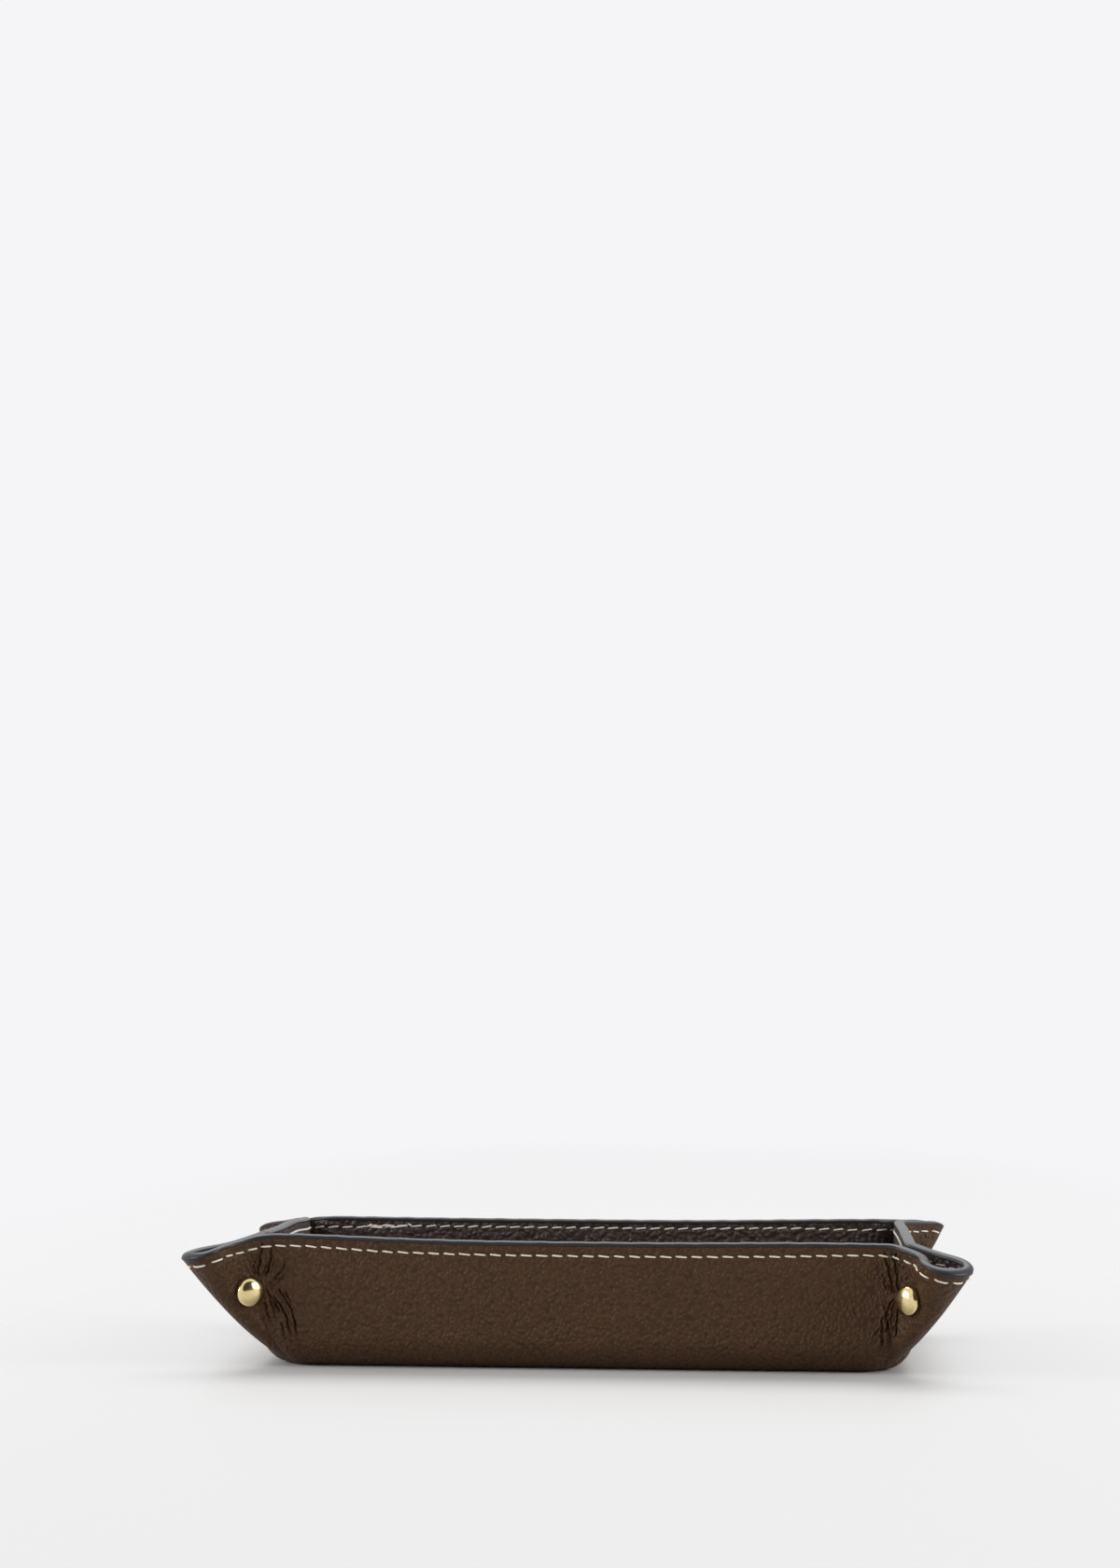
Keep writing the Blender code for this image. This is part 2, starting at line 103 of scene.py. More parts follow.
# Seam and rivets
stitch_pitch = 0.0047
stitch_inset = 0.00375
rivet_height = 0.0230
rivet_setback_share = 0.475
cap_diameter = 0.0090
cap_height = 0.0030
post_radius = 0.0014
post_reach_share = 0.9

# Derived sizes
cover_half_gap = touch_gap / 2
floor_level = outer_thickness + cover_half_gap
leather_top = wall_height - coat_height - touch_gap
leather_rise = leather_top - floor_level
corner_foot = floor_corner_radius * (math.sqrt(2) - 1)
board_lift = board_thickness + touch_gap
flap_half = pinch_gap / 2 + lining_thickness + cover_half_gap
rivet_setback = rivet_setback_share * ear_reach
rivet_share = (rivet_height - floor_level) / leather_rise
cap_radius = cap_diameter / 2
pinch_low_share = rivet_share - cap_radius / leather_rise
pinch_top_share = min(pinch_top_limit_share, rivet_share + cap_radius / leather_rise)
outer_face = cover_half_gap + outer_thickness
lining_face = -cover_half_gap - lining_thickness
half_corner_points = len(flap_shares) + 4

# Mesh spacing: on the two creased flaps that face the camera, on the other flaps, round the noses and
# elsewhere, and the rows up the wall
fine_spacing = 0.00016
flap_spacing = 0.00042
nose_spacing = 0.0009
coarse_spacing = 0.0019
fine_reach = (0.0015, 0.0165)
flap_reach = (-0.0065, 0.0150)
outer_rows = 104
lining_rows = 60
bend_rows = 9
bend_row_power = 1.5
hidden_rows = 3
hidden_bend_shares = (0.5, 0.15, 0.0)
nose_spans = 4
table_columns = 24
seat_columns = 6
seat_rows = 60
slope_step_share = 0.0001
pace_step = 0.02

# Angles in degrees over which an edge is sharp
sharp_angle = 50.0
coat_sharp_angle = 80.0
stitch_sharp_angle = 85.0
brass_sharp_angle = 60.0

WALLS = (("front", (0, -1)), ("left", (-1, 0)), ("back", (0, 1)), ("right", (1, 0)))
CORNERS = ("front_left", "back_left", "back_right", "front_right")
NOSES = {"front_left": 9.5, "back_left": 24.5, "back_right": 41.5, "front_right": 56.5}
SPANS = 64

# Finish of the leathers' faces: shares of v over which the drawn in seam and the creases fade at the foot and
# at the rim, and the seam furrow's width
foot_fade_share = 0.06
pull_fade_share = 0.03
crease_fade_share = 0.04
crease_rim_share = 0.35
lining_crease_share = 0.4
seam_pull_width = 0.0007

# Stitches: each thread's steps and sides, how much the stitches differ, and the thread's arch and taper
stitch_steps = 8
stitch_sides = 6
length_spread = 0.05
slant_spread = 0.3
arch_power = 3.5
arch_share = 1.5
sink_share = 0.9
taper_power = 3
end_width_share = 0.62
flat_share = 0.92
outer_slant = 5
inner_slant = 7

# Edge paint: its steps across, how far it turns under, and its waves as (height share, count, phase)
coat_steps = 19
coat_under_angle = 0.35
coat_waves = ((0.04, 67, 0), (0.03, 113, 1))

# Rivets: rings of the dome and of its rolled rim, sides, and the dome's roundness
dome_rings = 22
roll_rings = 6
turned_sides = 64
dome_power = 0.9

# Creases beside the two front rivets: each one's share of the depth, then the places that it runs through
# from the cap outwards, in millimetres from the rivet, towards the wall and up
CREASES = {
    "front_left_long": (
        (0.4, (2.0, 7.3), (1.8, 10.3), (2.4, 18.5)),
        (0.7, (3.3, 5.1), (2.9, 7.2), (3.1, 9.6), (3.1, 12.1)),
        (1.2, (4.1, 4.7), (4.2, 7.2), (4.6, 11.6), (5.0, 18.5)),
        (0.4, (5.6, 5.2), (6.1, 6.2), (6.4, 8.2), (5.7, 10.9)),
        (1.2, (5.9, 4.9), (7.2, 7.1), (7.7, 10.8), (7.7, 18.5)),
        (0.7, (6.7, 5.1), (7.7, 6.8), (8.7, 8.7), (8.7, 10.5)),
        (0.9, (8.3, 3.5), (10.7, 5.8), (12.0, 8.5), (11.6, 10.8)),
        (0.4, (9.8, 2.9), (12.4, 5.3), (12.9, 7.6), (13.4, 10.2)),
        (0.4, (7.5, 2.3), (8.3, 3.0), (10.3, 3.3)),
        (0.35, (7.7, 1.6), (9.6, 0.7), (12.2, 0.6)),
        (0.5, (7.8, 15.8), (8.9, 13.7), (8.9, 11.4)),
        (0.9, (5.5, -2.9), (5.9, -5.2), (6.1, -7.6), (5.9, -10.2)),
        (1.0, (6.5, 1.0), (7.4, -1.7), (8.3, -5.0), (8.2, -10.4)),
        (0.8, (7.5, -0.9), (9.0, -3.5), (10.0, -5.2), (10.3, -6.7)),
        (1.3, (8.5, -1.2), (11.1, -4.9), (12.2, -9.5), (7.8, -16.0)),
        (1.1, (10.3, 1.0), (13.1, -3.5), (14.6, -8.8), (10.9, -16.7)),
        (0.7, (9.8, -9.2), (9.4, -11.0), (8.2, -12.6), (5.5, -14.8)),
        (0.4, (12.2, 0.6), (12.9, -1.2), (14.3, -4.0)),
    ),
    "front_right_long": (
        (1.2, (8.0, 1.8), (8.6, 5.0), (9.3, 9.2), (11.5, 18.5)),
        (0.5, (8.7, 1.6), (9.7, 4.3), (10.3, 6.3)),
        (1.2, (5.8, 2.3), (6.5, 5.8), (6.7, 9.7), (8.8, 18.5)),
        (0.5, (6.0, 9.8), (6.3, 12.5), (8.1, 18.5)),
        (0.6, (2.9, 5.5), (3.1, 8.6), (4.5, 11.9), (6.4, 18.5)),
        (0.5, (2.6, 9.5), (3.5, 12.7), (5.7, 18.5)),
        (0.4, (9.9, 3.2), (11.1, 4.9), (12.7, 8.6), (15.0, 18.5)),
        (0.4, (3.7, 4.6), (4.5, 6.2), (5.1, 8.2)),
        (0.3, (2.4, 6.1), (2.2, 8.7), (2.5, 12.6)),
        (1.2, (7.3, -0.1), (9.5, -2.9), (9.1, -8.4), (1.9, -15.9)),
        (1.0, (7.2, -1.7), (8.1, -3.9), (8.1, -6.2), (7.9, -7.8)),
        (1.1, (5.8, -2.2), (5.6, -5.3), (4.1, -9.0), (-4.5, -11.2)),
        (0.7, (10.9, -1.6), (10.3, -3.5), (9.3, -6.1)),
        (0.9, (10.6, -4.2), (11.1, -8.2), (9.5, -12.4), (5.0, -15.8)),
        (0.5, (11.9, -9.1), (12.9, -10.5), (12.7, -11.9), (11.3, -14.2)),
        (0.6, (6.4, -8.1), (6.8, -9.6), (6.0, -11.4)),
        (0.8, (8.9, -6.1), (9.3, -8.8), (9.3, -11.1)),
    ),
}
millimetre = 0.001

# The backtack where the inner seam was begun and ended, and the crossed stitches in the corner beside it:
# each stitch's place along the seam, its length as a share, its slant in degrees and its height in
# millimetres above the seam
BACKTACK = (
    (0.4385, 0.55, 30.0, 0.45), (0.4395, 1.10, 6.0, 0.30), (0.4420, 1.15, -4.0, -0.28),
    (0.4445, 0.90, 12.0, 0.28), (0.4470, 1.10, -6.0, 0.34), (0.4495, 1.00, 5.0, -0.26),
    (0.4525, 1.05, 3.0, 0.22), (0.4560, 0.45, -38.0, 0.30), (0.4040, 0.80, 30.0, 0.20),
    (0.4065, 0.80, -28.0, -0.20),
)

# A crease's width, how it widens along its curve, its swells, and its wavers as (size, rate, turn). Copies
# are scaled and softened within ranges, and a faint crease lies beside each one, within a range of steps.
crease_sigma = 0.00031
crease_widths = (0.8, 0.5)
crease_swell = 0.42
crease_swell_place = 1.9
crease_steps = 12
crease_wavers = ((0.00016, 1500, 2.1), (0.00009, 4100, 1))
crease_reach = 0.030
crease_start_share = 0.05
crease_end_share = 0.30
crease_end_loss = 0.9
copy_scales = ((0.85, 0.9), (1.15, 1.08))
copy_shares = (0.5, 1.0)
faint_share = 0.38
faint_shares = (0.6, 1.2)
faint_steps = ((0.00055, -0.0012), (0.00095, 0.0012))


def smooth(x):
    """0 below 0 and 1 above 1, with an even slope at both ends."""
    x = np.clip(x, 0, 1)
    return x * x * (3 - 2 * x)


def soft_min(a, b, blend):
    """The smaller of two lengths, rounded over a blend length."""
    return (a + b - np.sqrt((a - b) ** 2 + blend ** 2)) / 2


def wall_offset(v):
    """How far a wall stands outside the flat floor's edge at share v: the floor bend, then the lean."""
    below = np.clip(floor_bend_radius - v * leather_rise, 0, floor_bend_radius)
    return np.sqrt(floor_bend_radius ** 2 - below ** 2) + wall_lean * v


def nose_reach(v):
    """How far the ear's folded edge stands outside the floor's corner at share v, a power curve."""
    return (ear_reach + corner_foot) * v ** (1 / fold_curve_power) - corner_foot


def beside(direction, outward):
    """The unit vector square to a direction, on the side that a wall faces."""
    side = np.array((-direction[1], direction[0]))
    return side if side @ outward > 0 else -side


def corner_places():
    """Each corner's point, its ear's direction and the two walls that meet in it, in order of travel."""
    places = {}
    for i, name in enumerate(CORNERS):
        (_, arriving), (_, leaving) = WALLS[i], WALLS[(i + 1) % len(WALLS)]
        diagonal = np.add(arriving, leaving)
        angle = math.atan2(diagonal[1], diagonal[0])
        turned = angle + math.radians(corner_turns[i])
        places[name] = {
            "point": diagonal * (floor_length / 2, floor_width / 2),
            "square": np.array((math.cos(angle), math.sin(angle))),
            "ear": np.array((math.cos(turned), math.sin(turned))),
            "walls": (np.array(arriving, float), np.array(leaving, float)),
        }
    return places


PLACES = corner_places()


def wall_steps(outward):
    """Places along a wall, from its middle, of the control points that are its own."""
    return (-long_wall_quarter, 0.0, long_wall_quarter) if outward[1] else (0.0,)


def flap_control(name, leaving, v):
    """Control points of half a corner, from the wall to the ear's nose, and their heights at v = 1.

    At v = 0 they lie on the floor's rounded corner, which moves out with the wall at one end and with the
    nose at the other. Higher up they follow the wall to the pinch, run out along the ear as a flap, and
    open into the loop behind the nose.
    """
    place, corner = PLACES[name], CORNERS.index(name)
    point, ear = place["point"], place["ear"]
    outward = place["walls"][leaving]
    away = np.array((outward[1], -outward[0])) * (1 if leaving else -1)
    side, square_side = beside(ear, outward), beside(place["square"], outward)
    is_long = bool(outward[1])
    offset = wall_offset(v)

    nose = nose_reach(v)
    opened = smooth((v - pinch_top_share) / (1 - pinch_top_share))
    pressed = smooth((v - fold_top_share) / (pinch_low_share - fold_top_share))
    half = fold_radius + (flap_half - fold_radius) * pressed + (rim_spread - pinch_gap) / 2 * opened
    loop = (long_loop_shares if is_long else short_loop_shares)[corner] * loop_half_width
    loop = fold_radius + (loop - fold_radius) * smooth((v - loop_start_share) / (1 - loop_start_share))
    back = nose - loop * loop_back_share
    pinch = (offset - half * (side @ outward)) / (ear @ outward)
    pinch = soft_min(pinch, back, fold_radius)
    pinch_half = (offset - pinch * (ear @ outward)) / (side @ outward)

    reach = [pinch] + [pinch + s * (back - pinch) for s in flap_shares] + [nose]
    half_width = [pinch_half] + [
        np.maximum(target, pinch_half * (1 - s))
        for s, target in zip(flap_shares, (half, half, np.maximum(half, loop)))
    ] + [loop * nose_share]

    turns = np.radians(round_angles)
    rounded = floor_corner_radius * (np.cos(turns) - math.sqrt(2)), floor_corner_radius * np.sin(turns)
    spread = offset * math.sqrt(2)
    further = (nose + corner_foot - spread) / (len(reach) - 1)
    formed = (1 - (1 - np.clip(v / ear_start_share, 0, 1)) ** 2)[:, None]

    round_run = floor_corner_radius * round_run_share
    near = round_run + (run_near - round_run) * formed
    points = [point + away * run + outward * offset[:, None] for run in (run_far, near)]
    for i, (a, b, a_floor, b_floor) in enumerate(zip(reach, half_width, *rounded)):
        on_ear = point + ear * a[:, None] + side * b[:, None]
        on_square = a_floor + spread + further * i
        on_round = point + place["square"] * on_square[:, None] + square_side * b_floor
        points.append(on_round + (on_ear - on_round) * formed)

    rise, droop = rise_shares[corner], droop_shares[corner]
    dip = (long_dip_shares if is_long else short_dip_shares)[corner]
    end_sag = long_end_sag_shares[corner] if is_long else 0
    heights = [1 - end_sag, 1 + rise, 1 + rise]
    along = [s * loop_place_share for s in flap_shares]
    heights += [1 + rise - (rise + droop) * s - dip * math.sin(math.pi * s) for s in along]
    heights += [1 - droop]
    return points, [leather_top * h for h in heights]


def control_net(v):
    """All control points of the outline at shares v, as an array (v, point, xy), and the heights of the
    raw edge over each."""
    points, heights = [], []
    for i, (_, outward) in enumerate(WALLS):
        outward = np.array(outward, float)
        travel = np.array((outward[1], -outward[0]))
        middle = outward * (floor_length / 2, floor_width / 2)
        for step in wall_steps(outward):
            points.append(middle + travel * step + outward * wall_offset(v)[:, None])
            heights.append(leather_top * (1 - wall_sag_shares[i]))
        arriving, arriving_heights = flap_control(CORNERS[i], 0, v)
        leaving, leaving_heights = flap_control(CORNERS[i], 1, v)
        points += arriving + leaving[::-1]
        heights += arriving_heights + leaving_heights[::-1]
    return np.stack(points, axis=1), np.array(heights)


def reference(u, v):
    """Points of the reference surface at matched places u and shares v: the four nearest control points
    of each place, weighted by the uniform cubic B-spline."""
    shares, which = np.unique(v, return_inverse=True)
    net, heights = control_net(shares)
    start = np.floor(u).astype(int)
    f = u - start
    plan, edge = np.zeros((len(u), 2)), np.zeros(len(u))
    weights = ((1 - f) ** 3, 3 * f ** 3 - 6 * f ** 2 + 4, -3 * f ** 3 + 3 * f ** 2 + 3 * f + 1, f ** 3)
    for k, w in enumerate(weights):
        at = (start + k - 1) % SPANS
        plan += net[which, at] * (w / 6)[:, None]
        edge += heights[at] * w / 6
    return np.column_stack((plan, floor_level + v * (edge - floor_level)))


def directions(u, v):
    """Unit outward normal of the reference surface, its unit direction towards the raw edge, and how far
    a whole share of v goes."""
    step = slope_step_share
    low, high = np.clip(v - step, 0, 1), np.clip(v + step, 0, 1)
    along = reference(u + step, v) - reference(u - step, v)
    up = reference(u, high) - reference(u, low)
    speed = np.linalg.norm(up, axis=1) / (high - low)
    up /= np.linalg.norm(up, axis=1)[:, None]
    normal = np.cross(up, along)
    normal[v < step] = (0, 0, -1)
    return normal / np.linalg.norm(normal, axis=1)[:, None], up, speed


def face_points(u, v, offset):
    """Points at a distance outside the reference surface."""
    return reference(u, v) + directions(u, v)[0] * np.reshape(offset, (-1, 1))


def rivet_seats():
    """For each corner, the rivet's centre and, for the flap on its long and its short wall, the rivet's
    axis, how far out its cap sits, and the place u on the flap that lies under the cap."""
    places = np.arange(SPANS * seat_columns) / seat_columns
    shares = np.linspace(ear_start_share, 1, seat_rows)
    u, v = (a.ravel() for a in np.meshgrid(places, shares))
    outside = face_points(u, v, np.full(len(u), outer_face))
    seats = {}
    for name, place in PLACES.items():
        local = outside[:, :2] - place["point"]
        centre = np.append(place["point"] + place["ear"] * rivet_setback, rivet_height)
        near = np.hypot(local @ place["ear"] - rivet_setback, outside[:, 2] - rivet_height)
        under = near < cap_radius + touch_gap
        seats[name] = {"centre": centre}
        for outward in place["walls"]:
            side = beside(place["ear"], outward)
            on_flap = under & (local @ side > 0)
            nearest = np.where(on_flap, near, np.inf).argmin()
            seats[name]["long" if outward[1] else "short"] = {
                "axis": np.append(side, 0.0), "seat": (local @ side)[on_flap].max() + touch_gap,
                "u": u[nearest], "way": np.sign(NOSES[name] - u[nearest]),
            }
    return seats


SEATS = rivet_seats()
FLAPS = [(name, kind) for name in CORNERS for kind in ("long", "short")]


def lengths_along(line):
    """The length along a line of points up to each of them."""
    return np.concatenate(([0], np.cumsum(np.linalg.norm(np.diff(line, axis=0), axis=1))))


def arc_table():
    """Places u round the outline at the rivets' height, with the lengths along it."""
    u = np.arange(SPANS * table_columns + 1) / table_columns
    return u, lengths_along(reference(u, np.full(len(u), rivet_share)))


ARC_U, ARC_LENGTH = arc_table()


def wall_side(u, name, kind):
    """Length along the outline from a rivet to the places u, positive on its wall side."""
    flap = SEATS[name][kind]
    away = (np.interp(flap["u"], ARC_U, ARC_LENGTH) - np.interp(u % SPANS, ARC_U, ARC_LENGTH)) * flap["way"]
    whole = ARC_LENGTH[-1]
    return (away + whole / 2) % whole - whole / 2


def columns(creased):
    """Places u of a leather's columns: close together beside each rivet and round each nose, wider
    elsewhere. The number of columns up to a place is the integral of 1 / spacing."""
    spacing = np.full(len(ARC_U), coarse_spacing)
    for name, u in NOSES.items():
        spacing[np.abs(ARC_U - u) < nose_spans] = nose_spacing
    for name, kind in FLAPS:
        side = wall_side(ARC_U, name, kind)
        spacing[(side > flap_reach[0]) & (side < flap_reach[1])] = flap_spacing
        if creased and name + "_" + kind in CREASES:
            spacing[(side > fine_reach[0]) & (side < fine_reach[1])] = fine_spacing
    count = np.concatenate(([0], np.cumsum(np.diff(ARC_LENGTH) / ((spacing[1:] + spacing[:-1]) / 2))))
    total = int(round(count[-1]))
    return np.interp(np.arange(total) * count[-1] / total, count, ARC_U)


def crease_curve(places):
    """Points along a crease: the polynomial of the lowest degree through its evenly timed places."""
    places = np.array(places) * millimetre
    times = np.linspace(0, 1, len(places))
    factors = np.polyfit(times, places, len(places) - 1)
    return np.stack([np.polyval(factors[:, i], np.linspace(0, 1, crease_steps)) for i in range(2)], axis=1)


def crease_lines(name, kind):
    """The curves and depth shares of one flap's creases: those of the front flaps as in the table, and
    seeded copies of them, a little softer, elsewhere. A fainter crease runs beside each."""
    key = name + "_" + kind
    rng = np.random.default_rng(11 + FLAPS.index((name, kind)))
    if key in CREASES:
        lines = [(crease_curve(places), share) for share, *places in CREASES[key]]
    else:
        table = CREASES["front_left_long" if rng.random() < 0.5 else "front_right_long"]
        lines = [(crease_curve(places) * rng.uniform(*copy_scales), share * rng.uniform(*copy_shares))
                 for share, *places in table]
    faint = [(curve + rng.uniform(*faint_steps) * (rng.choice((-1, 1)), 1),
              faint_share * rng.uniform(*faint_shares)) for curve, _ in lines]
    return lines + faint


def curve_distance(x, h, stretch, curve):
    """How far places (x, h) are from a curve, and how far along it their nearest points are, from 0 to 1.
    Lengths along x are stretched first, to what they are on the surface."""
    best, along = np.full(len(x), np.inf), np.zeros(len(x))
    for i, (a, b) in enumerate(zip(curve, curve[1:])):
        dx, dh = (b[0] - a[0]) * stretch, b[1] - a[1]
        px, ph = (x - a[0]) * stretch, h - a[1]
        t = np.clip((px * dx + ph * dh) / (dx ** 2 + dh ** 2), 0, 1)
        distance = np.hypot(px - t * dx, ph - t * dh)
        nearer = distance < best
        best[nearer], along[nearer] = distance[nearer], (i + t[nearer]) / (len(curve) - 1)
    return best, along


def pace(u, v):
    """How far a small step along the outline goes at each place."""
    return np.linalg.norm(reference(u + pace_step, v) - reference(u - pace_step, v), axis=1)


def furrows(u, v, points):
    """How deep the creases beside the rivets are at each place, as a share that is negative on the swells.

    Each crease is a furrow along its curve: a Gaussian across it, with a lower swell on either side. It
    fades at both ends and its line wavers a little.
    """
    depth = np.zeros(len(u))
    for name, kind in FLAPS:
        side = wall_side(u, name, kind)
        near = np.abs(side) < crease_reach
        x, h = side[near], points[near, 2] - rivet_height
        stretch = pace(u[near], v[near]) / pace(u[near], np.full(near.sum(), rivet_share))
        total = np.zeros(len(x))
        for number, (curve, share) in enumerate(crease_lines(name, kind)):
            waver = sum(size * np.sin(h * rate + number * turn) for size, rate, turn in crease_wavers)
            across, along = curve_distance(x + waver, h, stretch, curve)
            ending = smooth((along - (1 - crease_end_share)) / crease_end_share)
            envelope = smooth(along / crease_start_share) * (1 - crease_end_loss * ending)
            across = across / (crease_sigma * (crease_widths[0] + crease_widths[1] * along))
            swell = crease_swell * np.exp(-(across - crease_swell_place) ** 2)
            total += share * envelope * (np.exp(-across ** 2) - swell)
        depth[near] += total
    return depth


def make_mesh(name, vertices, faces, smooth_angle=sharp_angle):
    """A mesh object at the origin from an array of vertices and its faces."""
    mesh = bpy.data.meshes.new(name)
    mesh.from_pydata(vertices.tolist(), [], faces)
    mesh.update()
    mesh.shade_smooth()
    mesh.set_sharp_from_angle(angle=math.radians(smooth_angle))
    made = bpy.data.objects.new(name, mesh)
    bpy.context.scene.collection.objects.link(made)
    return made


def ring_faces(rings, count, first=0, closed=False):
    """Quads between rings of count vertices each, one ring after another."""
    row = np.arange(rings if closed else rings - 1)[:, None]
    column = np.arange(count)[None, :]
    nxt, up = (column + 1) % count, (row + 1) % rings
    corners = row * count + column, row * count + nxt, up * count + nxt, up * count + column
    quads = np.stack(corners, axis=-1)
    return (quads.reshape(-1, 4) + first).tolist()


def floor_lift(v):
    """How much further in the lining lies at share v, to leave room for the board under the floor."""
    return board_lift * (1 - smooth(v * leather_rise / floor_bend_radius))


def seam_inset(u):
    """The seam's distance from the rim at places u: each wall's own up to its far points, and the even one
    round the corners."""
    shares = []
    for i, (_, outward) in enumerate(WALLS):
        own, following = (1 + seam_drop_shares[j % len(WALLS)] for j in (i, i + 1))
        shares += [own] * (len(wall_steps(outward)) + 1)
        shares += [1.0] * (2 * half_corner_points - 2) + [following]
    return stitch_inset * np.interp(u, np.arange(SPANS + 1), shares + shares[:1])


def seam_pull(u, v, speed):
    """How far the seam's thread draws the leather in: a Gaussian across the seam line."""
    sizes = bpy.context.scene.tray_sizes
    from_edge = (1 - v) * speed + coat_height + touch_gap
    return sizes.seam_pull * np.exp(-((from_edge - seam_inset(u)) / seam_pull_width) ** 2)


def leather(name, seen, hidden, sign, crease, seen_rows):
    """One leather as a closed shell: rows up its seen face, over the raw edge, and a few rows down its
    hidden face, with a flat floor on each. Rows are points at a distance from the reference surface. The
    seen face is drawn in along the seam and by the creases, whose depth an attribute keeps for the
    material to paint shade into the furrows."""
    u = columns(sign > 0)
    bend = floor_bend_radius / leather_rise
    low = np.linspace(0, bend, bend_rows + 1)[:-1] ** bend_row_power / bend ** (bend_row_power - 1)
    v_seen = np.concatenate((low, np.linspace(bend, 1, seen_rows - bend_rows)))
    v_hidden = np.concatenate((np.linspace(1, bend, hidden_rows), bend * np.array(hidden_bend_shares)))
    rows, depths = [], []
    for shares, face in ((v_seen, seen), (v_hidden, hidden)):
        uu, vv = np.tile(u, len(shares)), np.repeat(shares, len(u))
        normal, _, speed = directions(uu, vv)
        base = reference(uu, vv)
        offset = face(vv)
        depth = np.zeros(len(uu))
        if face is seen:
            fade = smooth(vv / foot_fade_share)
            rim_fade = crease_rim_share + (1 - crease_rim_share) * smooth((1 - vv) / crease_fade_share)
            depth = furrows(uu, vv, base) * fade * rim_fade
            pull = seam_pull(uu, vv, speed) * fade * smooth((1 - vv) / pull_fade_share)
            offset = offset - sign * (pull + crease * depth)
        rows.append(base + normal * offset[:, None])
        depths.append(depth)
    vertices = np.concatenate(rows)
    rings, count = len(v_seen) + len(v_hidden), len(u)
    faces = ring_faces(rings, count)
    faces += [list(range(count))[::-1], list(range((rings - 1) * count, rings * count))]
    if sign > 0:
        faces = [face[::-1] for face in faces]
    made = make_mesh(name, vertices, faces)
    # The creases' depth, kept for the material, which paints shade into the furrows with it
    furrow_shade_depth = made.data.attributes.new("furrow", "FLOAT", "POINT")
    furrow_shade_depth.data.foreach_set("value", np.concatenate(depths).astype(np.float32))
    return made


def edge_coat():
    """The painted edge: a rounded bead carried along the raw edge of both leathers. Across it the height
    is a power of the sine, and the height varies a little along the rim."""
    sizes = bpy.context.scene.tray_sizes
    u = columns(False)
    top = np.ones(len(u))
    normal, up, _ = directions(u, top)
    path = reference(u, top)
    length = np.interp(u, ARC_U, ARC_LENGTH)
    wave = sum(size * np.sin(length * 2 * math.pi / (ARC_LENGTH[-1] / count) + phase)
               for size, count, phase in coat_waves)
    out, back = outer_face + sizes.coat_overhang, -lining_face + sizes.coat_overhang
    rings = []
    for t in np.linspace(-coat_under_angle, math.pi + coat_under_angle, coat_steps):
        x = (out - back) / 2 - (out + back) / 2 * math.cos(t)
        y = np.sign(math.sin(t)) * coat_height * (1 + wave) * abs(math.sin(t)) ** coat_power
        if math.sin(t) < 0:
            y = 0 * wave - sizes.coat_lap * abs(math.sin(t)) / math.sin(coat_under_angle)
        rings.append(path + normal * x + up * np.reshape(y + touch_gap / 2, (-1, 1)))
    vertices = np.concatenate(rings)
    faces = ring_faces(len(rings), len(u), closed=True)
    return make_mesh("painted_edge", vertices, [f[::-1] for f in faces], coat_sharp_angle)


def seam_line():
    """Places u, shares v and lengths along the seam."""
    u = np.arange(SPANS * table_columns + 1) / table_columns
    speed = directions(u, np.ones(len(u)))[2]
    v = 1 - (seam_inset(u) - coat_height - touch_gap) / speed
    return u, v, lengths_along(reference(u, v))


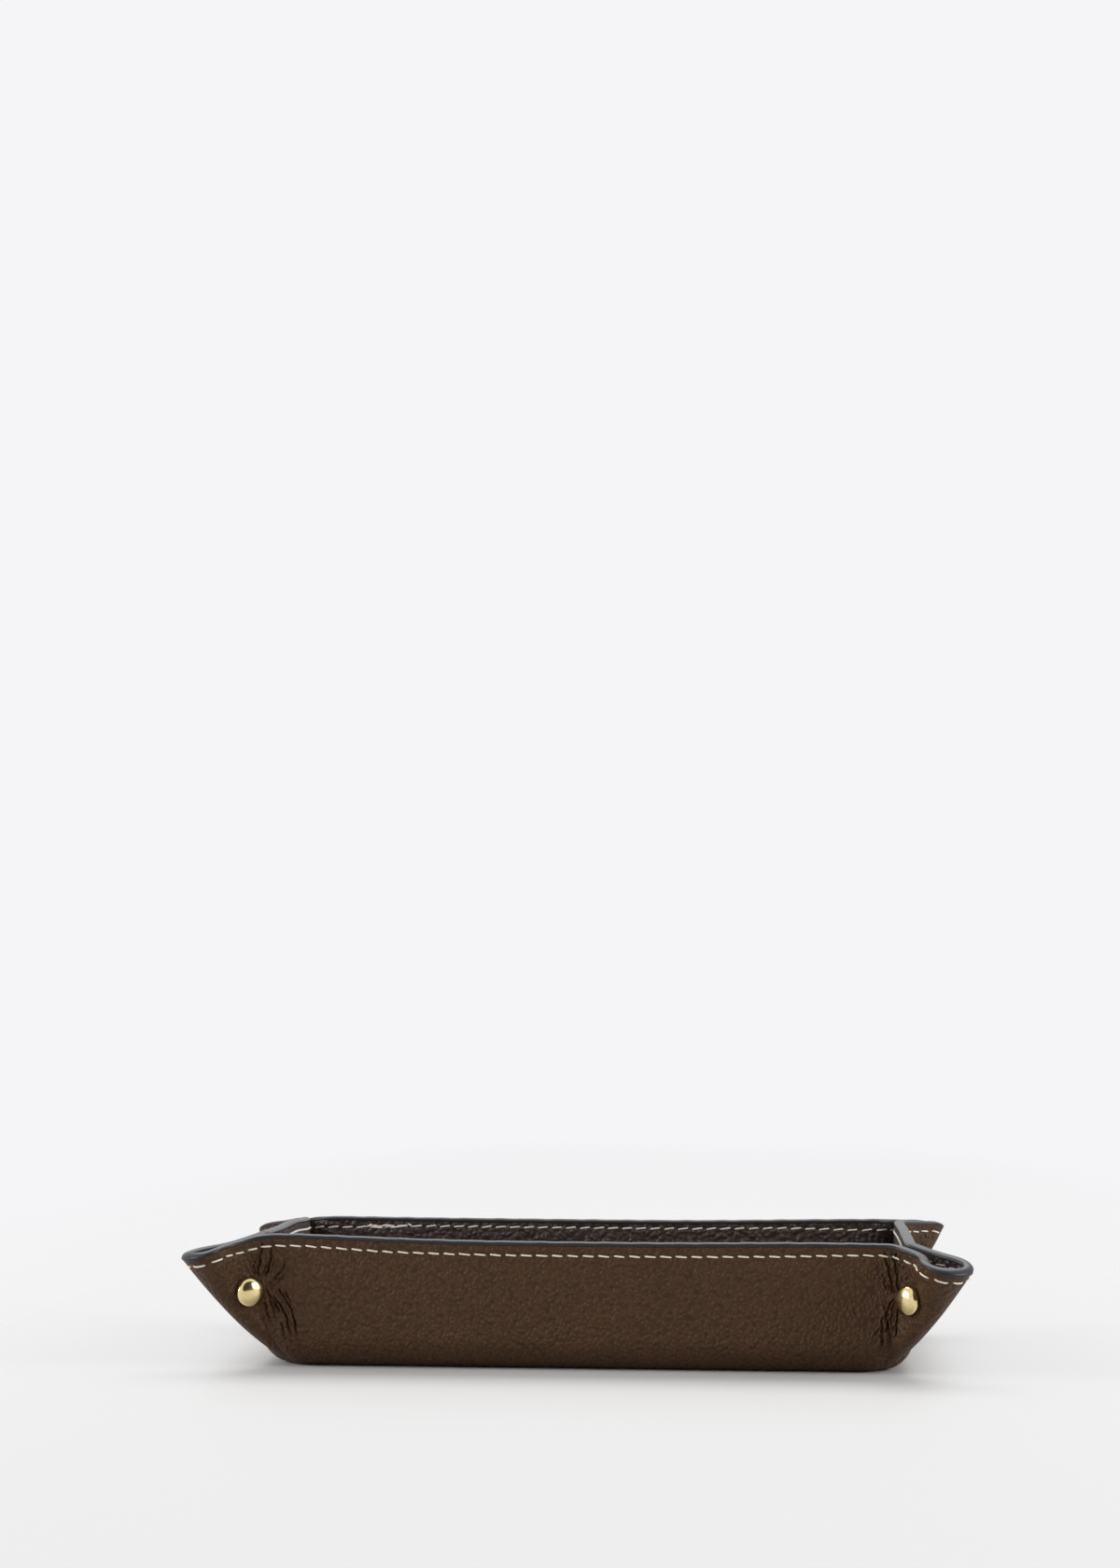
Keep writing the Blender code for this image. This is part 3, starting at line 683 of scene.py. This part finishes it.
def stitches(name, side, slant, extra=()):
    """One face's stitches, each a bowed thread whose ends sink into the leather, and the extra ones.

    Along a stitch the thread's height is a power of the cosine, it is a little slanted across the seam,
    and its section is a hexagon that narrows at both ends. All stitches are one array.
    """
    sizes = bpy.context.scene.tray_sizes
    radius = sizes.thread_diameter / 2
    line_u, line_v, length = seam_line()
    count = round(length[-1] / stitch_pitch)
    rng = np.random.default_rng(5 if side > 0 else 6)
    extra = np.array(extra).reshape(-1, 4)
    starts = np.concatenate((np.arange(count) / count, extra[:, 0])) * length[-1]
    steps, around = stitch_steps, stitch_sides
    t = np.linspace(-1, 1, steps)
    reach = 1 + rng.uniform(-length_spread, length_spread, count)
    reach = sizes.stitch_length * np.concatenate((reach, extra[:, 1]))
    tilt = math.radians(slant) * (1 + rng.uniform(-slant_spread, slant_spread, count))
    tilt = np.concatenate((tilt, np.radians(extra[:, 2])))
    rise = np.concatenate((np.zeros(count), extra[:, 3])) * millimetre
    count = len(starts)
    at = starts[:, None] + sizes.stitch_length / 2 + t * reach[:, None] / 2
    u = np.interp(at.ravel() % length[-1], length, line_u)
    v = np.interp(at.ravel() % length[-1], length, line_v)
    normal, up, _ = directions(u, v)
    shift = (rise[:, None] + t * reach[:, None] / 2 * np.tan(tilt)[:, None]).ravel()
    face = outer_face if side > 0 else -lining_face
    arch = 1 - np.abs(t) ** arch_power
    lift = face - sizes.seam_pull + radius * np.tile(arch_share * arch - sink_share, count)
    centre = reference(u, v) + normal * (side * lift)[:, None] + up * shift[:, None]
    centre = centre.reshape(count, steps, 3)
    along = np.gradient(centre, axis=1)
    along /= np.linalg.norm(along, axis=2)[..., None]
    n = (normal * side).reshape(count, steps, 3)
    n -= (n * along).sum(2)[..., None] * along
    n /= np.linalg.norm(n, axis=2)[..., None]
    b = np.cross(along, n)
    taper = np.sqrt(np.clip(1 - np.abs(t) ** taper_power, 0, 1))
    width = radius * (end_width_share + (1 - end_width_share) * taper)
    a = np.arange(around) * 2 * math.pi / around
    ring = n[:, :, None] * (np.cos(a) * flat_share)[:, None] + b[:, :, None] * np.sin(a)[:, None]
    vertices = (centre[:, :, None] + ring * width[:, None, None]).reshape(-1, 3)
    first = (np.arange(count) * steps * around)[:, None, None]
    quads = (np.array(ring_faces(steps, around)) + first).reshape(-1, 4)
    caps = (np.stack((np.arange(around)[::-1], np.arange(around) + (steps - 1) * around)) + first)
    faces = quads.tolist() + caps.reshape(-1, around).tolist()
    made = make_mesh(name, vertices, faces, stitch_sharp_angle)
    # The map runs along each stitch and round it, so that the twist follows the thread
    uv = np.broadcast_arrays(t[:, None] * sizes.stitch_length / 2, a / (2 * math.pi))
    per_vertex = np.tile(np.stack(uv, axis=-1).reshape(-1, 2), (count, 1))
    layer = made.data.uv_layers.new(name="along_thread")
    loops = np.zeros(len(made.data.loops), np.int32)
    made.data.loops.foreach_get("vertex_index", loops)
    layer.data.foreach_set("uv", per_vertex[loops].ravel())
    return made


def dome_profile():
    """A cap's outside as (radius, height) from the middle of the dome to its rolled rim: a power ellipse
    that turns under into a small bead."""
    sizes = bpy.context.scene.tray_sizes
    high, roll = sizes.cap_height, sizes.cap_roll
    turns = np.linspace(math.pi / 2, 0, dome_rings)
    dome = [(cap_radius * math.cos(t) ** dome_power, roll + (high - roll) * math.sin(t) ** dome_power)
            for t in turns]
    dome[0] = (0.0, high)
    under = np.linspace(0, -math.pi / 2, roll_rings)[1:]
    return dome + [(cap_radius - roll + roll * math.cos(t), roll + roll * math.sin(t)) for t in under]


def turned(name, profile, place, axis):
    """A solid of revolution: a profile of (radius, height) carried round an axis through a place. The
    profile starts and ends on the axis, and its first and last rings close in one point each."""
    steps = turned_sides
    profile = np.array(profile)
    angles = np.arange(steps) * 2 * math.pi / steps
    inner = profile[1:-1]
    ring = np.stack((inner[:, None, 0] * np.cos(angles), inner[:, None, 0] * np.sin(angles),
                     np.repeat(inner[:, None, 1], steps, 1)), axis=-1).reshape(-1, 3)
    vertices = np.concatenate((ring, [(0, 0, profile[0, 1]), (0, 0, profile[-1, 1])]))
    turn = np.array(Vector(axis).to_track_quat("Z", "Y").to_matrix())
    vertices = vertices @ turn.T + place
    faces = [f[::-1] for f in ring_faces(len(inner), steps)]
    top, low, last = len(ring), len(ring) + 1, (len(inner) - 1) * steps
    faces += [(i, (i + 1) % steps, top) for i in range(steps)]
    faces += [(last + (i + 1) % steps, last + i, low) for i in range(steps)]
    return make_mesh(name, vertices, faces, brass_sharp_angle)


def feed(node, *inputs, **values):
    """Sets a node's inputs, in order or by name with _ for a space, and its other settings. An input is
    given as a value or as the socket that leads into it."""
    named = {key: key.replace("_", " ") for key in values}
    for key, value in values.items():
        if named[key] not in node.inputs:
            setattr(node, key, value)
    given = list(enumerate(inputs)) + [(named[k], v) for k, v in values.items() if named[k] in node.inputs]
    for key, value in given:
        if isinstance(value, bpy.types.NodeSocket):
            node.id_data.links.new(value, node.inputs[key])
        else:
            node.inputs[key].default_value = value
    return node


def adder(tree):
    """A helper that adds a shader node to a tree, feeds it and gives its outputs."""
    def add(kind, *inputs, **values):
        return feed(tree.nodes.new("ShaderNode" + kind), *inputs, **values).outputs

    return add


def new_material(name):
    """A new material with its Principled shader and the helper that adds nodes."""
    made = bpy.data.materials.new(name)
    made.use_nodes = True
    return made, made.node_tree.nodes["Principled BSDF"], adder(made.node_tree)


def ramp(add, place, *stops):
    """The colour at a place on a ramp with stops of (place, colour), where one number is a grey."""
    colour = add("ValToRGB", place)["Color"]
    elements = colour.node.color_ramp.elements
    for i, (at, shade) in enumerate(stops):
        element = elements[i] if i < 2 else elements.new(at)
        element.position, element.color = at, (*np.broadcast_to(shade, 3).tolist(), 1)
    return colour


def dimmed(colour, share):
    """A colour at a share of its strength."""
    return tuple(c * share for c in colour)


def leather_material(name, colour, dark, pebble, depth, look):
    """Milled leather: soft pebbles drawn out a little up the wall, with darker valleys, on broad cloudy
    changes of colour, crossed by fine upright wrinkles and a fine grain. The furrows get painted shade,
    darker by the mesh's attribute. The pebbles' size and depth are in metres."""
    made, shader, add = new_material(name)
    place = add("TexCoord")["Object"]
    drawn = add("Mapping", Vector=place, Scale=(1.0, 1.0, look["rise"]))["Vector"]
    warp = add("TexNoise", Vector=place, Scale=0.35 / pebble, Detail=3.0)["Color"]
    warped = add("VectorMath", warp, (pebble * 1.6,) * 3, drawn, operation="MULTIPLY_ADD")[0]
    cells = add("TexVoronoi", feature="SMOOTH_F1", Vector=warped, Scale=1 / pebble, Smoothness=0.7,
                Randomness=0.95)["Distance"]
    cloud = add("TexNoise", Vector=place, Scale=55.0, Detail=5.0, Roughness=0.6)["Fac"]
    upright = add("Mapping", Vector=place, Scale=(1.0, 1.0, 0.42))["Vector"]
    wrinkle = add("TexNoise", Vector=upright, Scale=0.9 / pebble, Detail=1.5, Roughness=0.5,
                  Distortion=0.4)["Fac"]
    furrow = add("Attribute", attribute_name="furrow")["Fac"]
    shade = ramp(add, cloud, (0.30, dark), (0.70, colour))
    # The last of these is painted shade: it darkens the crease furrows by their depth
    for over in (ramp(add, cells, (0.25, 1), (0.85, 1 - look["valley_share"])),
                 ramp(add, wrinkle, (0.36, 1 - look["streak_share"]), (0.56, 1)),
                 ramp(add, furrow, (0.02, 1), (1.0, (0.50, 0.45, 0.42)))):
        shade = add("MixRGB", 1.0, shade, over, blend_type="MULTIPLY")[0]
    grain = add("TexNoise", Vector=place, Scale=3000.0, Detail=3.0)["Fac"]
    normal = add("Bump", Strength=1.0, Distance=depth * 1.15, invert=True, Height=cells)["Normal"]
    for height, strength, share in ((wrinkle, 1.0, 0.5), (grain, 0.15, 0.15)):
        normal = add("Bump", Strength=strength, Distance=depth * share, Height=height, Normal=normal)[0]
    rough = add("MapRange", Value=cells, To_Min=look["roughness"] - 0.04, To_Max=look["roughness"] + 0.10)
    feed(shader, Base_Color=shade, Normal=normal, Roughness=rough["Result"],
         Specular_IOR_Level=look["specular"])
    return made


def paint_material(colour):
    """Glossy edge paint: nearly even colour, with the slight waves of a hand-laid coat."""
    made, shader, add = new_material("edge_paint_gloss")
    place = add("TexCoord")["Object"]
    waves = add("TexNoise", Vector=place, Scale=420.0, Detail=2.0)["Fac"]
    mottle = add("TexNoise", Vector=place, Scale=1800.0, Detail=3.0)["Fac"]
    normal = add("Bump", Strength=0.5, Distance=0.00006, Height=waves)["Normal"]
    normal = add("Bump", Strength=0.5, Distance=0.00005, Height=mottle, Normal=normal)["Normal"]
    feed(shader, Base_Color=ramp(add, waves, (0.3, dimmed(colour, 0.7)), (0.7, colour)), Normal=normal,
         Roughness=0.40, Specular_IOR_Level=0.28, Coat_Weight=0.10, Coat_Roughness=0.20)
    return made


def thread_material(colour):
    """Waxed thread: diagonal stripes of its twist along the thread's own map, lighter on each ply."""
    made, shader, add = new_material("waxed_thread")
    parts = add("SeparateXYZ", add("UVMap", uv_map="along_thread")["UV"])
    turn = add("Math", parts["X"], 2200.0, parts["Y"], operation="MULTIPLY_ADD")[0]
    wave = add("Math", turn, 0.5, operation="PINGPONG")[0]
    feed(shader, Base_Color=ramp(add, wave, (0.0, dimmed(colour, 0.84)), (0.35, colour)), Roughness=0.6,
         Normal=add("Bump", Strength=0.6, Distance=0.00008, Height=wave)["Normal"], Sheen_Weight=0.2)
    return made


def brass_material(colour):
    """Polished brass, a little darker and rougher where it has dulled."""
    made, shader, add = new_material("polished_brass")
    dull = add("TexNoise", Vector=add("TexCoord")["Object"], Scale=260.0, Detail=4.0)["Fac"]
    feed(shader, Base_Color=ramp(add, dull, (0.35, dimmed(colour, 0.86)), (0.65, colour)), Metallic=1.0,
         Roughness=add("MapRange", Value=dull, To_Min=0.10, To_Max=0.22)["Result"])
    return made


def board_material(colour):
    """Grey fibreboard: short fibres as stretched noise."""
    made, shader, add = new_material("fibreboard")
    stretch = add("Mapping", Vector=add("TexCoord")["Object"], Scale=(300.0, 1500.0, 1500.0))["Vector"]
    fibres = add("TexNoise", Vector=stretch, Scale=1.0, Detail=5.0)["Fac"]
    feed(shader, Base_Color=ramp(add, fibres, (0.3, dimmed(colour, 0.6)), (0.7, colour)), Roughness=0.9,
         Normal=add("Bump", Strength=0.5, Distance=0.0001, Height=fibres)["Normal"])
    return made


# What the tray's finish is built from: each size's label, description and value in metres
SIZES = {
    "thread_diameter": ("Thread diameter", "Diameter of the seam's thread", 0.00058),
    "stitch_length": ("Stitch length", "Length of each stitch that shows", 0.0036),
    "seam_pull": ("Seam pull", "How far the thread draws the leather in", 0.00014),
    "crease": ("Crease depth", "Depth of the creases beside the rivets", 0.00054),
    "pebble": ("Pebble size", "Width of one pebble of the leather's grain", 0.00100),
    "pebble_depth": ("Pebble depth", "Depth of the valleys between pebbles", 0.00056),
    "coat_overhang": ("Coat overhang", "How far the edge paint stands proud", 0.00012),
    "coat_lap": ("Coat lap", "How far the edge paint laps down the leathers", 0.00010),
    "cap_height": ("Cap height", "Height of a rivet's domed cap", cap_height),
    "cap_roll": ("Cap roll", "Radius of the rolled rim of a rivet's cap", 0.00045),
}

# Each colour's label, description and linear value
COLOURS = {
    "outer": ("Outer leather", "Colour of the outer leather", (0.087, 0.0385, 0.0128)),
    "outer_dark": ("Outer leather, dark", "Its darker cloudy patches", (0.077, 0.0335, 0.0110)),
    "lining": ("Lining", "Colour of the lining leather", (0.060, 0.038, 0.031)),
    "lining_dark": ("Lining, dark", "Its darker cloudy patches", (0.050, 0.031, 0.025)),
    "paint": ("Edge paint", "Colour of the painted edge", (0.024, 0.023, 0.028)),
    "thread": ("Thread", "Colour of the seam's thread", (0.95, 0.89, 0.75)),
    "brass": ("Brass", "Colour of the rivets", (0.86, 0.70, 0.36)),
    "board": ("Board", "Colour of the stiffening board", (0.20, 0.17, 0.14)),
    "stage": ("Stage", "Colour of the floor", (0.60, 0.594, 0.584)),
    "background": ("Background", "Colour that the camera sees behind the tray", (0.913, 0.913, 0.930)),
}

# Each leather's roughness and specular level, how far its pebbles' height is drawn out less than their
# width, and how much darker the valleys and the wrinkles are. The lining's pebbles are larger.
OUTER_LOOK = {"roughness": 0.50, "specular": 0.27, "rise": 0.80, "valley_share": 0.42, "streak_share": 0.14}
LINING_LOOK = {"roughness": 0.44, "specular": 0.46, "rise": 1.0, "valley_share": 0.60, "streak_share": 0.10}
lining_pebble_share = 1.5
lining_depth_share = 1.1


class TraySizes(bpy.types.PropertyGroup):
    """Sizes of the tray's finish."""
    __annotations__ = {
        key: FloatProperty(name=label, description=text, default=value, unit="LENGTH", precision=5)
        for key, (label, text, value) in SIZES.items()
    }


class TrayColours(bpy.types.PropertyGroup):
    """Colours of the tray's finishes and of the stage."""
    __annotations__ = {
        key: FloatVectorProperty(name=label, description=text, default=value, size=3, subtype="COLOR")
        for key, (label, text, value) in COLOURS.items()
    }


def finish_piece(made, finish, slot, *nodes):
    """Gives a piece its material, lets it ride on the tray and stand for its solids. The slot argument is not
    used.
    """
    made.data.materials.append(finish)
    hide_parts(*nodes)
    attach(made, "root")


class Step:
    """A step that builds pieces from the scene's sizes and colours."""
    def execute(self, context):
        self.build(context.scene.tray_sizes, context.scene.tray_colours)
        return {"FINISHED"}


class TRAY_OT_outer_leather(Step, bpy.types.Operator):
    """Build the outer leather with its creased corners"""
    bl_idname = "tray.outer_leather"
    bl_label = "Outer leather"

    def build(self, sizes, colours):
        made = leather("outer_leather_skin", lambda v: outer_face + 0 * v, lambda v: cover_half_gap + 0 * v,
                       1, sizes.crease, outer_rows)
        finish = leather_material("brown_leather", colours.outer[:], colours.outer_dark[:], sizes.pebble,
                                  sizes.pebble_depth, OUTER_LOOK)
        finish_piece(made, finish, "brown_leather", "outer_leather")


class TRAY_OT_lining(Step, bpy.types.Operator):
    """Build the lining leather inside the tray"""
    bl_idname = "tray.lining"
    bl_label = "Lining leather"

    def build(self, sizes, colours):
        made = leather("lining_leather_skin", lambda v: lining_face - floor_lift(v),
                       lambda v: -cover_half_gap - floor_lift(v), -1, sizes.crease * lining_crease_share,
                       lining_rows)
        finish = leather_material("dark_lining", colours.lining[:], colours.lining_dark[:],
                                  sizes.pebble * lining_pebble_share, sizes.pebble_depth * lining_depth_share,
                                  LINING_LOOK)
        finish_piece(made, finish, "dark_lining", "lining_leather")


class TRAY_OT_edge(Step, bpy.types.Operator):
    """Build the painted edge round the rim"""
    bl_idname = "tray.edge"
    bl_label = "Painted edge"

    def build(self, sizes, colours):
        finish = paint_material(colours.paint[:])
        finish_piece(edge_coat(), finish, "edge_paint", "edge_paint")


class TRAY_OT_seams(Step, bpy.types.Operator):
    """Build the stitches on both faces"""
    bl_idname = "tray.seams"
    bl_label = "Seams"

    def build(self, sizes, colours):
        finish = thread_material(colours.thread[:])
        outer = stitches("stitches_outer", 1, outer_slant)
        finish_piece(outer, finish, "cream_thread", "seam_thread_outer")
        inner = stitches("stitches_inner", -1, inner_slant, BACKTACK)
        finish_piece(inner, finish, "cream_thread", "seam_thread_inner")


class TRAY_OT_rivets(Step, bpy.types.Operator):
    """Build the domed brass rivets through the four ears"""
    bl_idname = "tray.rivets"
    bl_label = "Rivets"

    def build(self, sizes, colours):
        finish = brass_material(colours.brass[:])
        for name, seat in SEATS.items():
            for kind, node in (("long", "rivet_head_"), ("short", "rivet_cap_")):
                flap = seat[kind]
                base = seat["centre"] + flap["axis"] * (flap["seat"] - touch_gap)
                tip = -flap["seat"] * post_reach_share
                profile = dome_profile() + [(post_radius, 0.0), (post_radius, tip), (0.0, tip)]
                made = turned("brass_" + node + name, profile, base, flap["axis"])
                finish_piece(made, finish, "polished_brass", node + name)


class TRAY_OT_board(Step, bpy.types.Operator):
    """Finish the stiffening board between the leathers"""
    bl_idname = "tray.board"
    bl_label = "Floor board"

    def build(self, sizes, colours):
        finish = board_material(colours.board[:])
        for material_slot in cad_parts["floor_board"].material_slots:
            material_slot.material = finish


# Camera, worked out from the photograph's proportions, with its picture's size in pixels
camera_place = (0.05627, -1.09535, 0.12367)
camera_yaw = -0.06176
camera_pitch = 0.05192
camera_roll = 0.00589
focal_pixels = 3663.5
picture_long_side = 1680
sensor_size = 36.0
near_clip, far_clip = 0.01, 50
floor_reach = 1.4
floor_sides = 48

# Lamps: name, place, what it faces, size, watts and whether reflections show it
LAMPS = (
    ("top_softbox", (0.0, 0.75, 1.2), (0, 0, 0), (1.4, 0.8), 13.5, True),
    ("right_softbox", (1.3, -0.40, 0.60), (0, 0, 0.02), (0.8, 0.7), 10.0, True),
    ("left_softbox", (-1.3, -0.50, 0.60), (0, 0, 0.02), (0.8, 0.7), 10.5, True),
    ("front_softbox", (0.0, -2.0, 0.9), (0, 0, 0.02), (1.6, 0.6), 3.0, False),
)

# How much the floor's fade counts a distance from the foot along each axis, and its stops
fade_weights = (1.0, 0.2, 0.0)
FADE_STOPS = ((0.0, 0), (0.25, 1), (0.010, 0.05), (0.024, 0.45), (0.09, 0.60))

# Directions of the studio's dark part in reflections and of its darker front
dark_direction = (0.50, -0.75, 0.43)
front_direction = (0.0, -0.97, 0.24)


def aim_camera():
    """A camera that looks along yaw and pitch from its place, rolled about its own axis."""
    level = math.cos(camera_pitch)
    forward = Vector((math.sin(camera_yaw) * level, math.cos(camera_yaw) * level, math.sin(camera_pitch)))
    right = Vector((math.cos(camera_yaw), -math.sin(camera_yaw), 0))
    up = right.cross(forward)
    rolled = right * math.cos(camera_roll) + up * math.sin(camera_roll)
    upright = up * math.cos(camera_roll) - right * math.sin(camera_roll)
    data = bpy.data.cameras.new("view")
    data.sensor_width = sensor_size
    data.lens = focal_pixels / picture_long_side * sensor_size
    data.clip_start, data.clip_end = near_clip, far_clip
    made = bpy.data.objects.new("view", data)
    turn = Matrix((rolled, upright, -forward)).transposed().to_4x4()
    made.matrix_world = Matrix.Translation(camera_place) @ turn
    bpy.context.scene.collection.objects.link(made)
    bpy.context.scene.camera = made


def floor_material(colour):
    """The pale floor: faintly clouded, and fading with distance from the tray's foot into the background."""
    made, shader, add = new_material("pale_stage")
    place = add("TexCoord")["Object"]
    cloud = add("TexNoise", Vector=place, Scale=2.0, Detail=1.0)["Fac"]
    feed(shader, Base_Color=ramp(add, cloud, (0.3, dimmed(colour, 0.99)), (0.7, colour)), Roughness=0.6,
         Specular_IOR_Level=0.1)
    away = add("VectorMath", place, operation="ABSOLUTE")[0]
    away = add("VectorMath", away, (floor_length / 2, floor_width / 2, 0), operation="SUBTRACT")[0]
    away = add("VectorMath", away, (0, 0, 0), operation="MAXIMUM")[0]
    away = add("VectorMath", away, fade_weights, operation="MULTIPLY")[0]
    fade = ramp(add, add("VectorMath", away, operation="LENGTH")["Value"], *FADE_STOPS)
    mixed = add("MixShader", fade, shader.outputs[0], add("BsdfTransparent")[0])[0]
    feed(made.node_tree.nodes["Material Output"], Surface=mixed)
    return made


def studio_world(background):
    """An even light that is darker in front. The camera sees a plain pale background, and reflections see a
    bright studio that is dark above the camera."""
    world = bpy.data.worlds.new("studio")
    world.use_nodes = True
    add = adder(world.node_tree)
    path, towards = add("LightPath"), add("TexCoord")["Generated"]
    dark_side = add("VectorMath", towards, dark_direction, operation="DOT_PRODUCT")["Value"]
    above = add("MapRange", Value=add("SeparateXYZ", towards)["Z"], From_Max=0.05)["Result"]
    dark_above = add("Math", dark_side, above, operation="MULTIPLY")["Value"]
    studio = ramp(add, dark_above, (0.76, 0.95), (0.86, (0.05, 0.045, 0.04)))
    facing = add("VectorMath", towards, front_direction, operation="DOT_PRODUCT")["Value"]
    even = ramp(add, facing, (0.10, 0.74), (0.70, 0.18))
    glossy = add("MixRGB", path["Is Glossy Ray"], even, studio)[0]
    seen = add("MixRGB", path["Is Camera Ray"], glossy, (*background, 1))[0]
    feed(world.node_tree.nodes["Background"], Color=seen)
    return world


def area_lamp(name, place, target, size, power, reflected):
    """A rectangular lamp that faces a target."""
    data = bpy.data.lights.new(name, "AREA")
    data.shape, data.size, data.size_y, data.energy = "RECTANGLE", *size, power
    made = bpy.data.objects.new(name, data)
    aim = (Vector(target) - Vector(place)).to_track_quat("-Z", "Y").to_matrix().to_4x4()
    made.matrix_world = Matrix.Translation(place) @ aim
    made.visible_glossy = reflected
    bpy.context.scene.collection.objects.link(made)


class TRAY_OT_stage(Step, bpy.types.Operator):
    """Build the pale floor, the lamps and the camera"""
    bl_idname = "tray.stage"
    bl_label = "Stage"

    def build(self, sizes, colours):
        turn = np.arange(floor_sides) * 2 * math.pi / floor_sides
        around = np.stack((np.cos(turn), np.sin(turn), 0 * turn), axis=-1) * floor_reach
        made = make_mesh("stage_floor", around, [tuple(range(floor_sides))])
        made.data.materials.append(floor_material(colours.stage[:]))
        bpy.context.scene.world = studio_world(colours.background[:])
        bpy.context.scene.view_settings.view_transform = "Standard"
        for lamp in LAMPS:
            area_lamp(*lamp)
        aim_camera()


class TRAY_PT_panel(bpy.types.Panel):
    """The tray's sizes, colours and steps"""
    bl_idname = "TRAY_PT_panel"
    bl_label = "Leather Valet Tray"
    bl_space_type = "VIEW_3D"
    bl_region_type = "UI"
    bl_category = "Tray"

    def draw(self, context):
        for group in (context.scene.tray_sizes, context.scene.tray_colours):
            box = self.layout.box()
            for key in group.bl_rna.properties.keys():
                if key not in ("rna_type", "name"):
                    box.prop(group, key)
        for operator in OPERATORS:
            self.layout.operator(operator.bl_idname)


OPERATORS = (TRAY_OT_outer_leather, TRAY_OT_lining, TRAY_OT_edge, TRAY_OT_seams, TRAY_OT_rivets,
             TRAY_OT_board, TRAY_OT_stage)
CLASSES = (TraySizes, TrayColours) + OPERATORS + (TRAY_PT_panel,)


def register():
    """Adds the tray's classes, and its settings on the scene."""
    for cls in CLASSES:
        bpy.utils.register_class(cls)
    bpy.types.Scene.tray_sizes = PointerProperty(type=TraySizes)
    bpy.types.Scene.tray_colours = PointerProperty(type=TrayColours)


def unregister():
    """Takes away what register added."""
    del bpy.types.Scene.tray_colours
    del bpy.types.Scene.tray_sizes
    for cls in reversed(CLASSES):
        bpy.utils.unregister_class(cls)


def main():
    """Builds the whole scene."""
    register()
    bpy.ops.tray.outer_leather()
    bpy.ops.tray.lining()
    bpy.ops.tray.edge()
    bpy.ops.tray.seams()
    bpy.ops.tray.rivets()
    bpy.ops.tray.board()
    bpy.ops.tray.stage()


if __name__ == "__main__":
    main()
